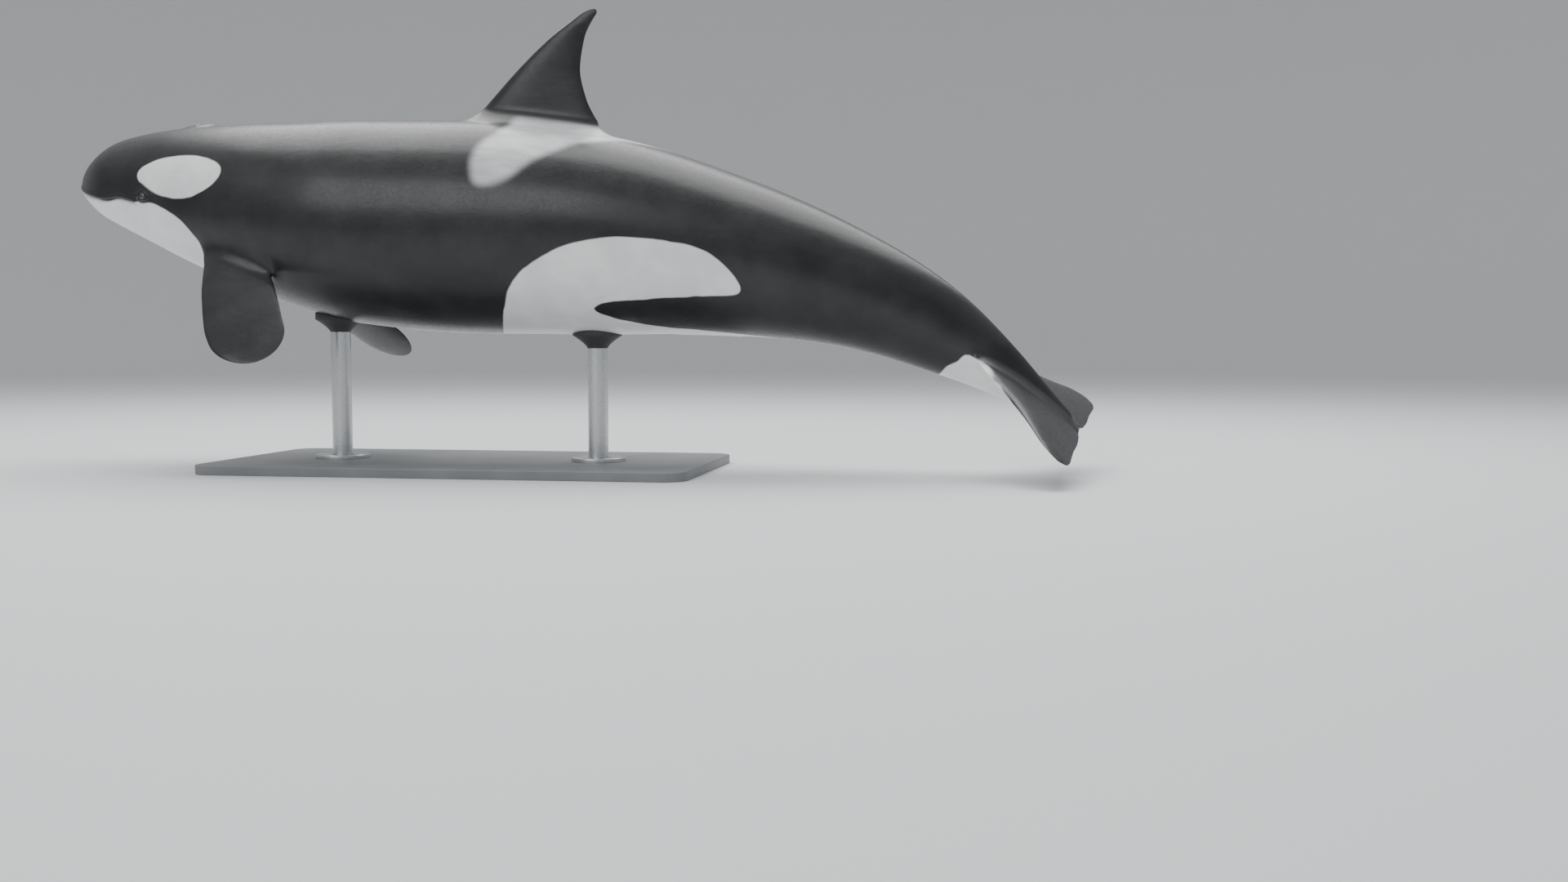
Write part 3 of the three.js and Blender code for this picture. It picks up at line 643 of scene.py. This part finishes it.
def smooth_outline(points):
    """Closed Catmull-Rom curve through the points."""
    p = np.array(points, float)
    before, after, later = np.roll(p, 1, 0), np.roll(p, -1, 0), np.roll(p, -2, 0)
    slope, turn = after - before, 2 * before - 5 * p + 4 * after - later
    twist = 3 * p - before - 3 * after + later
    steps = np.arange(CURVE_PARTS) / CURVE_PARTS
    curve = [0.5 * (2 * p + slope * s + turn * s ** 2 + twist * s ** 3) for s in steps]
    return np.stack(curve, 1).reshape(-1, 2)


def chart(share, angle):
    """Shares and degrees as metres along and round the body."""
    top, bottom, half, _, _ = section(share)
    return np.stack([share * LENGTH, np.radians(angle) * (top + bottom + 2 * half) / 4], -1)


def inside_by(points, outline):
    """How far each point of the chart lies inside the outline, negative outside it."""
    curve = smooth_outline(outline)
    corners = chart(np.clip(curve[:, 0], 0, SPINE_REACH), curve[:, 1])
    best = np.full(len(points), np.inf)
    inside = np.zeros(len(points), bool)
    for a, b in zip(corners, np.roll(corners, -1, 0)):
        along = b - a
        s = np.clip(((points - a) @ along) / max(along @ along, TINY ** 2), 0, 1)
        best = np.minimum(best, np.hypot(*(points - a - s[:, None] * along).T))
        if a[1] != b[1]:
            crosses = (a[1] > points[:, 1]) != (b[1] > points[:, 1])
            inside ^= crosses & (points[:, 0] < a[0] + (points[:, 1] - a[1]) / (b[1] - a[1]) * along[0])
    return np.where(inside, best, -best)


def fluke_white(co):
    """How far a point lies inside the white of the flukes' underside."""
    level = np.clip(np.abs(co[:, 1]) / FLUKE_SPAN, 0, 1)
    lead, trail = (through(FLUKE_LEVELS, shares, level) * LENGTH for shares in (FLUKE_LEAD, FLUKE_TRAIL))
    behind = co[:, 0] - lead
    front = behind + FLUKE_FRONT - FLUKE_RETREAT * smoothstep(*RETREAT_LEVELS, level)
    rear = trail - FLUKE_BORDER - BORDER_GROWTH * level - co[:, 0]
    outer = (FLUKE_WHITE_END - level) * FLUKE_SPAN
    wrap = WRAP_HEIGHT * smoothstep(*WRAP_START, behind) * smoothstep(*WRAP_END, behind)
    under = wrap * smoothstep(*WRAP_LEVELS, level) - co[:, 2]
    return np.minimum.reduce([front, rear, outer, under])


def markings(mesh):
    """Two attributes of the straight skin: metres inside the white, and the strength of the grey saddle."""
    co = vertex_array(mesh)
    angle, out = skin_angle(co)
    share = np.clip(co[:, 0] / LENGTH, 0, SPINE_REACH)
    place = chart(share, angle)
    below = np.clip(mouth_line(share) - co[:, 2], -WHITE_REACH, WHITE_REACH)
    inside = np.clip(inside_by(place, UNDERSIDE), -WHITE_REACH, WHITE_REACH)
    to_outline = smoothstep(MOUTH_CORNER + MOUTH_BLEND[0], MOUTH_CORNER + MOUTH_BLEND[1], share)
    white = np.maximum(below * (1 - to_outline) + inside * to_outline, inside_by(place, EYE_PATCH))
    on_stock = inside_by(place, TAIL_WHITE) - FIN_FALL * np.maximum(0, out - TAIL_CLEAR)
    tail = np.minimum(np.maximum(on_stock, fluke_white(co)), WHITE_REACH)
    white = np.where(share > TAIL_START, tail, white)
    flippers = (share > FLIPPER_ZONE[0]) & (share < FLIPPER_ZONE[1]) & (angle > 90)
    white = np.where(flippers, np.minimum(white, FIN_FALL * (FLIPPER_CLEAR - out)), white)
    saddle = smoothstep(*SADDLE_EDGE, inside_by(place, SADDLE)) * smoothstep(*SADDLE_CLEAR, out)
    for name, values in (("white", white), ("saddle", saddle)):
        attribute = mesh.attributes.new(name, "FLOAT", "POINT")
        attribute.data.foreach_set("value", values.astype(np.float32))


# Materials: each colour from its darkest to its lightest
BLACK = (0.0085, 0.009, 0.0098, 1), (0.02, 0.021, 0.0225, 1)
GREY = (0.42, 0.43, 0.435, 1), (0.58, 0.59, 0.595, 1)
WHITE = (0.72, 0.73, 0.73, 1), (0.83, 0.835, 0.83, 1)
EYE_BROWN = (0.012, 0.008, 0.006, 1), (0.05, 0.034, 0.025, 1)
PAINT_GREY = (0.17, 0.178, 0.185, 1), (0.2, 0.208, 0.215, 1)
STEEL_GREY = (0.5, 0.51, 0.52, 1), (0.64, 0.65, 0.66, 1)
RUBBER_BLACK = (0.028, 0.028, 0.03, 1), (0.05, 0.05, 0.053, 1)
FLOOR_PALE = (0.66, 0.67, 0.68, 1)
SKY_PALE = (0.92, 0.94, 0.96, 1)
EDGE_BLUR, EDGE_WOBBLE = 0.005, 0.003  # metres by which the white's edge is soft, and by which it wanders


def material(name):
    made = bpy.data.materials.new(name)
    made.use_nodes = True
    return made, made.node_tree.nodes, made.node_tree.links, made.node_tree.nodes["Principled BSDF"]


def node(nodes, kind, **settings):
    """New shader node with numbers set on its sockets."""
    made = nodes.new(kind)
    for socket, value in settings.items():
        made.inputs[socket].default_value = value
    return made


def own_place(nodes):
    """Coordinates on the piece itself."""
    return nodes.new("ShaderNodeTexCoord").outputs["Object"]


def mesh_value(nodes, name):
    """One of the skin's attributes."""
    made = nodes.new("ShaderNodeAttribute")
    made.attribute_name = name
    return made.outputs["Fac"]


def remap(nodes, links, source, low, high, to_low, to_high, kind="SMOOTHSTEP"):
    made = nodes.new("ShaderNodeMapRange")
    made.interpolation_type = kind
    for socket, value in zip(("From Min", "From Max", "To Min", "To Max"), (low, high, to_low, to_high)):
        made.inputs[socket].default_value = value
    links.new(source, made.inputs["Value"])
    return made.outputs["Result"]


def fill(links, socket, value):
    """Sets a socket to a number or a colour, or links it to another node's output."""
    if isinstance(value, (int, float, tuple)):
        socket.default_value = value
    else:
        links.new(value, socket)


def mix_colour(nodes, links, factor, a, b):
    made = nodes.new("ShaderNodeMix")
    made.data_type = "RGBA"
    links.new(factor, made.inputs["Factor"])
    fill(links, made.inputs[6], a)
    fill(links, made.inputs[7], b)
    return made.outputs[2]


def tint(nodes, links, source, low, high, colours):
    """Colour that goes from dark to light as the source goes from low to high."""
    return mix_colour(nodes, links, remap(nodes, links, source, low, high, 0, 1), *colours)


def maths(nodes, links, operation, a, b):
    made = nodes.new("ShaderNodeMath")
    made.operation = operation
    fill(links, made.inputs[0], a)
    fill(links, made.inputs[1], b)
    return made.outputs[0]


def noise(nodes, links, coords, scale, detail, roughness=0.55, stretch=None):
    made = node(nodes, "ShaderNodeTexNoise", Scale=scale, Detail=detail, Roughness=roughness)
    if stretch:
        mapping = node(nodes, "ShaderNodeMapping", Scale=stretch)
        links.new(coords, mapping.inputs["Vector"])
        coords = mapping.outputs["Vector"]
    links.new(coords, made.inputs["Vector"])
    return made.outputs["Fac"]


def bumpy(nodes, links, shader, height, strength, distance):
    """Gives the shader fine bumps of a height map."""
    bump = node(nodes, "ShaderNodeBump", Strength=strength, Distance=distance)
    links.new(height, bump.inputs["Height"])
    links.new(bump.outputs["Normal"], shader.inputs["Normal"])


def skin_material():
    made, nodes, links, shader = material("orca_skin")
    coords = own_place(nodes)

    wander = noise(nodes, links, coords, 9, 1)
    wobble = remap(nodes, links, wander, 0.3, 0.7, -EDGE_WOBBLE, EDGE_WOBBLE, "LINEAR")
    inside = maths(nodes, links, "ADD", mesh_value(nodes, "white"), wobble)
    white_share = remap(nodes, links, inside, -EDGE_BLUR, EDGE_BLUR, 0, 1)

    mottle = noise(nodes, links, coords, 5, 6)
    streaks = noise(nodes, links, coords, 9, 5, 0.6, (0.5, 2.2, 2.2))
    black = tint(nodes, links, mottle, 0.3, 0.75, BLACK)
    grey = tint(nodes, links, streaks, 0.3, 0.7, GREY)
    white = tint(nodes, links, mottle, 0.35, 0.7, WHITE)
    dark = mix_colour(nodes, links, mesh_value(nodes, "saddle"), black, grey)
    links.new(mix_colour(nodes, links, white_share, dark, white), shader.inputs["Base Color"])

    fine = noise(nodes, links, coords, 60, 4)
    links.new(remap(nodes, links, fine, 0.3, 0.7, 0.3, 0.42), shader.inputs["Roughness"])
    shader.inputs["Coat Weight"].default_value = 0.18
    shader.inputs["Coat Roughness"].default_value = 0.2
    shader.inputs["IOR"].default_value = 1.42

    ripples = noise(nodes, links, coords, 14, 3, 0.5, (0.6, 1.6, 1.6))
    height = maths(nodes, links, "ADD", ripples, maths(nodes, links, "MULTIPLY", fine, 0.12))
    bumpy(nodes, links, shader, height, 0.22, 0.005)
    return made


def eye_material():
    made, nodes, links, shader = material("eye")
    cloud = noise(nodes, links, own_place(nodes), 90, 4)
    links.new(tint(nodes, links, cloud, 0.35, 0.7, EYE_BROWN), shader.inputs["Base Color"])
    shader.inputs["Roughness"].default_value = 0.08
    shader.inputs["Coat Weight"].default_value = 0.8
    shader.inputs["Coat Roughness"].default_value = 0.03
    return made


def paint_material():
    made, nodes, links, shader = material("stand_paint")
    coords = own_place(nodes)
    grain = noise(nodes, links, coords, 180, 3)
    cloud = noise(nodes, links, coords, 3, 4)
    links.new(tint(nodes, links, cloud, 0.3, 0.7, PAINT_GREY), shader.inputs["Base Color"])
    links.new(remap(nodes, links, grain, 0.3, 0.7, 0.42, 0.52), shader.inputs["Roughness"])
    bumpy(nodes, links, shader, grain, 0.15, 0.001)
    return made


def steel_material():
    made, nodes, links, shader = material("stand_steel")
    brushed = noise(nodes, links, own_place(nodes), 40, 4, 0.6, (1, 1, 30))
    links.new(tint(nodes, links, brushed, 0.3, 0.7, STEEL_GREY), shader.inputs["Base Color"])
    shader.inputs["Metallic"].default_value = 1
    links.new(remap(nodes, links, brushed, 0.3, 0.7, 0.24, 0.38), shader.inputs["Roughness"])
    bumpy(nodes, links, shader, brushed, 0.1, 0.0005)
    return made


def rubber_material():
    made, nodes, links, shader = material("stand_pad")
    grain = noise(nodes, links, own_place(nodes), 250, 3)
    links.new(tint(nodes, links, grain, 0.3, 0.7, RUBBER_BLACK), shader.inputs["Base Color"])
    shader.inputs["Roughness"].default_value = 0.7
    bumpy(nodes, links, shader, grain, 0.3, 0.001)
    return made


# Pieces
def place_piece(obj, made, slot, *nodes):
    """Gives a piece its material, and puts it in the place of the solids' nodes. The slot is not used."""
    obj.data.materials.append(made)
    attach(obj, "root")
    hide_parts(*nodes)
    return obj


def orca_skin():
    body = straight_body()
    fins = [flipper(f"flipper_{name}", **sizes) for name, sizes in FLIPPERS.items()]
    fins += [dorsal_fin(), fluke(-1), fluke(1)]
    for one in fins:
        flare(one)
    seam = join_fins(body, fins)
    smooth_seams(body.data, seam)
    markings(body.data)
    relief(body.data)
    set_vertices(body.data, bend(vertex_array(body.data)))
    shade_smooth(body.data)
    return place_piece(body, skin_material(), "orca_skin",
                       "head", "lower_jaw", "chest", "trunk", "tail_stock",
                       "fluke_left", "fluke_right", "dorsal_fin", "flipper_left", "flipper_right")


EYE_SIDES, EYE_ROWS = 48, 32


def eyes():
    made = eye_material()
    turn = full_turn(EYE_SIDES)
    tilt = np.linspace(0, math.pi, EYE_ROWS + 2)[1:-1]
    rings = np.stack([np.outer(np.sin(tilt), np.cos(turn)), np.outer(np.cos(tilt), np.ones_like(turn)),
                      np.outer(np.sin(tilt), np.sin(turn))], -1) * EYE_RADIUS
    verts, faces = loft(rings, np.array([0, EYE_RADIUS, 0]), np.array([0, -EYE_RADIUS, 0]))
    for side, name in ((-1, "left"), (1, "right")):
        ball = face_out(new_object(f"eyeball_{name}", bend(verts + eye_place(side, -EYE_DEPTH)), faces))
        place_piece(ball, made, "eye", f"eye_{name}")


# Stand, in metres
SIDES = 96  # of a round part
SHARP_ANGLE = 0.6  # edges that turn more than this, in radians, stay sharp
PLATE_CORNER, PLATE_EDGE = 0.12, 0.006
PLATE_CHAMFER = 0.3  # of the lower edge, as a part of the upper edge's radius
CORNER_STEPS, EDGE_STEPS = 16, 8
FOOT_BEVEL, BEVEL_STEPS = 0.008, 6
CUP_WALL, CUP_POWER, CUP_RINGS = 0.07, 1.4, 10  # height of the flared wall, how it flares, and its rings
CUP_SIDE = (0.4, 0.8)  # rings between the wall and the rim
BED_BITE, BED_RINGS, BED_MIDDLE = 0.0005, 12, 0.01  # how far the bed cuts into the skin, and its inner ring
RAY_START = 0.05  # how far under the cup the rays up to the belly start


def full_turn(sides):
    return np.linspace(0, 2 * math.pi, sides, endpoint=False)


def sharpen(obj):
    """Keeps sharp edges sharp under smooth shading."""
    modifier = obj.modifiers.new("sharp", "EDGE_SPLIT")
    modifier.split_angle = SHARP_ANGLE
    return obj


def turned(name, outline, centre):
    """Closed solid turned round an upright axis, from (radius, height) points that start and end on it."""
    turn = full_turn(SIDES)
    inner = np.array(outline[1:-1])
    rings = np.stack([inner[:, 0, None] * np.cos(turn), inner[:, 0, None] * np.sin(turn),
                      np.repeat(inner[:, 1, None], SIDES, 1)], -1) + centre
    poles = [np.array([0, 0, outline[k][1]]) + centre for k in (0, -1)]
    verts, faces = loft(rings, *poles)
    return sharpen(face_out(new_object(name, verts, faces)))


def stand(skin):
    paint, steel, rubber = paint_material(), steel_material(), rubber_material()
    place_piece(slab("base_plate", *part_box("stand_base")), paint, "stand_paint", "stand_base")
    tree = BVHTree.FromObject(skin, bpy.context.evaluated_depsgraph_get())
    for name in ("front", "rear"):
        foot_low, foot_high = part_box(f"stand_foot_{name}")
        rod_low, rod_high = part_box(f"stand_rod_{name}")
        axis = np.array([(rod_low.x + rod_high.x) / 2, 0, 0])
        wide, radius = (foot_high.y - foot_low.y) / 2, (rod_high.y - rod_low.y) / 2
        bevel = [(wide - FOOT_BEVEL * (1 - math.sin(a)), foot_high.z - FOOT_BEVEL * (1 - math.cos(a)))
                 for a in np.linspace(math.pi / 2, 0, BEVEL_STEPS)]
        foot = turned(f"foot_{name}", [(0, foot_low.z), (wide, foot_low.z), *bevel, (0, foot_high.z)], axis)
        place_piece(foot, steel, "stand_steel", f"stand_foot_{name}")
        side = [(radius, rod_low.z), (radius, rod_high.z)]
        rod = turned(f"rod_{name}", [(0, rod_low.z), *side, (0, rod_high.z)], axis)
        place_piece(rod, steel, "stand_steel", f"stand_rod_{name}")
        pad = cup(f"cup_{name}", *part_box(f"stand_cup_{name}"), axis, radius, tree)
        place_piece(pad, rubber, "stand_pad", f"stand_cup_{name}")


def cup(name, low, high, axis, stem, tree):
    """Flared cup whose upper face follows the belly."""
    radius = (high.y - low.y) / 2
    turn = full_turn(SIDES)

    def ring(r, z):
        return np.stack([r * np.cos(turn), r * np.sin(turn), np.full(SIDES, z)], -1) + axis

    def under_belly(r):
        points = ring(r, low.z - RAY_START)
        for p in points:
            p[2] = tree.ray_cast(Vector(p), Vector((0, 0, 1)))[0].z + BED_BITE
        return points

    wall = low.z + CUP_WALL
    rings = [ring(stem, low.z)]
    for s in np.linspace(0, 1, CUP_RINGS)[1:]:
        rings.append(ring(stem + (radius - stem) * s ** CUP_POWER, low.z + (wall - low.z) * s))
    rim = under_belly(radius)
    for s in CUP_SIDE:
        between = ring(radius, wall)
        between[:, 2] += (rim[:, 2] - wall) * s
        rings.append(between)
    rings += [rim] + [under_belly(r) for r in np.linspace(radius, BED_MIDDLE, BED_RINGS)[1:]]
    rings = np.array(rings)
    verts, faces = loft(rings, rings[0].mean(0), rings[-1].mean(0))
    return face_out(new_object(name, verts, faces))


def slab(name, low, high):
    """Flat plate with round corners and a rounded upper edge."""
    x, y = high.x - PLATE_CORNER, high.y - PLATE_CORNER
    turn = np.linspace(0, math.pi / 2, CORNER_STEPS)
    outline = []
    for number, (sx, sy) in enumerate(((1, 1), (-1, 1), (-1, -1), (1, -1))):
        for a in turn + number * math.pi / 2:
            outline.append((sx * x, sy * y, math.cos(a), math.sin(a)))
    outline = np.array(outline)

    def ring(inset, z):
        flat = outline[:, :2] + outline[:, 2:] * (PLATE_CORNER - inset)
        return np.column_stack([flat, np.full(len(flat), z)])

    chamfer = PLATE_EDGE * PLATE_CHAMFER
    rings = [ring(chamfer, low.z), ring(0, low.z + chamfer)]
    for a in np.linspace(0, math.pi / 2, EDGE_STEPS):
        rings.append(ring(PLATE_EDGE * (1 - math.cos(a)), high.z - PLATE_EDGE * (1 - math.sin(a))))
    verts, faces = loft(np.array(rings), np.array([0, 0, low.z]), np.array([0, 0, high.z]))
    return sharpen(face_out(new_object(name, verts, faces)))


# Stage, lights and camera
FLOOR_INNER, FLOOR_FLAT, FLOOR_SWEEP, WALL_TOP = 4, 24, 10, 20
FLOOR_SIDES, FLOOR_RINGS, SWEEP_STEPS = 128, 8, 28
CAMERA_PLACE = (3.027, -7.804, 0.724)
CAMERA_TILT, CAMERA_TURN = 4, 9.237  # degrees below the horizon, and degrees about Z
SENSOR, LENS = 36, 33.75  # millimetres


def stage():
    """Pale floor that rises to a wall all round."""
    made, _, _, shader = material("floor")
    shader.inputs["Base Color"].default_value = FLOOR_PALE
    shader.inputs["Roughness"].default_value = 0.65
    profile = [(r, 0) for r in np.linspace(FLOOR_INNER, FLOOR_FLAT, FLOOR_RINGS)]
    for a in np.linspace(0, math.pi / 2, SWEEP_STEPS)[1:]:
        profile.append((FLOOR_FLAT + FLOOR_SWEEP * math.sin(a), FLOOR_SWEEP * (1 - math.cos(a))))
    profile.append((FLOOR_FLAT + FLOOR_SWEEP, WALL_TOP))
    verts = [(r * math.cos(a), r * math.sin(a), z) for r, z in profile for a in full_turn(FLOOR_SIDES)]
    centre = len(verts)
    faces = [(centre, k, (k + 1) % FLOOR_SIDES) for k in range(FLOOR_SIDES)]
    for start in range(0, centre - FLOOR_SIDES, FLOOR_SIDES):
        for k in range(FLOOR_SIDES):
            a, b = start + k, start + (k + 1) % FLOOR_SIDES
            faces.append((a, a + FLOOR_SIDES, b + FLOOR_SIDES, b))
    floor = new_object("floor", [*verts, (0, 0, 0)], faces)
    floor.data.materials.append(made)


def area_light(name, place, target, wide, high, power):
    lamp = bpy.data.lights.new(name, "AREA")
    lamp.shape, lamp.size, lamp.size_y, lamp.energy = "RECTANGLE", wide, high, power
    obj = bpy.data.objects.new(name, lamp)
    obj.location = place
    obj.rotation_euler = (Vector(target) - Vector(place)).to_track_quat("-Z", "Y").to_euler()
    bpy.context.scene.collection.objects.link(obj)


def lights():
    """Wide soft light from above and behind, a weaker one from the camera's side, and an even pale world."""
    middle = (0.4, 0, 1.2)
    area_light("sky", place=(0.5, 2.5, 9), target=middle, wide=14, high=9, power=1700)
    area_light("front", place=(-4, -14, 9), target=middle, wide=12, high=8, power=900)
    world = bpy.data.worlds.new("studio")
    world.use_nodes = True
    world.node_tree.nodes["Background"].inputs["Color"].default_value = SKY_PALE
    world.node_tree.nodes["Background"].inputs["Strength"].default_value = 0.7
    bpy.context.scene.world = world


def camera():
    """The photo's view."""
    lens = bpy.data.cameras.new("camera")
    lens.sensor_width, lens.lens = SENSOR, LENS
    obj = bpy.data.objects.new("camera", lens)
    obj.location = CAMERA_PLACE
    obj.rotation_euler = (math.radians(90 - CAMERA_TILT), 0, math.radians(CAMERA_TURN))
    bpy.context.scene.collection.objects.link(obj)
    bpy.context.scene.camera = obj


camera()
stage()
lights()
skin = orca_skin()
eyes()
stand(skin)
